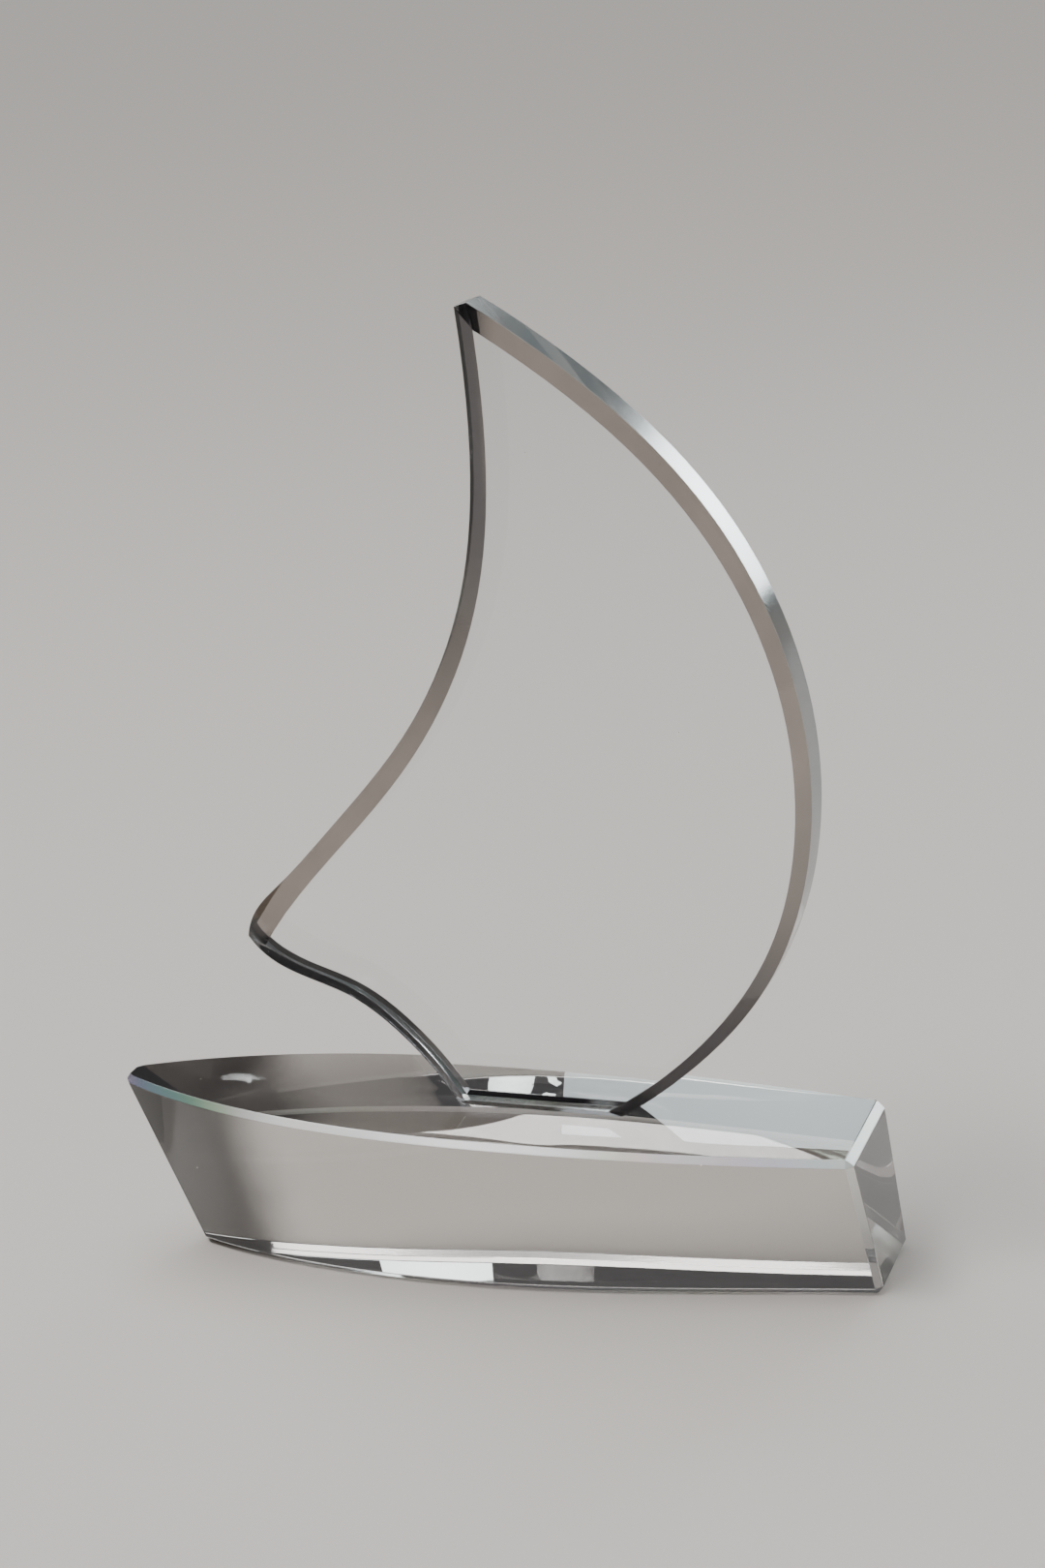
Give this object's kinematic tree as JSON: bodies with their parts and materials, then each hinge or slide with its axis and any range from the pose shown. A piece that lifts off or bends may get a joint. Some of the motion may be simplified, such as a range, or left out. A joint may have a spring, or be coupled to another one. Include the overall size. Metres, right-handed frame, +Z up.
{
  "type": "crystal award",
  "caption": "Clear optical-crystal award in the shape of a small sailing boat: a thick bevelled sail plate standing on a solid faceted hull.",
  "frame": {"origin": "on the resting plane, on the hull's centre line, under the middle of the hull's length", "axes": "+X aft along the hull from bow to transom, +Y across it, away from the sail's wide-bevelled face, +Z up"},
  "size_m": [0.1671, 0.0518, 0.2035],
  "materials": {
    "hull_crystal": "polished optical crystal",
    "sail_crystal": "polished optical crystal",
    "bond_adhesive": "clear cured adhesive"
  },
  "bodies": {
    "root": {"hull": "hull_crystal", "sail": "sail_crystal", "bond_layer": "bond_adhesive"}
  },
  "joints": []
}
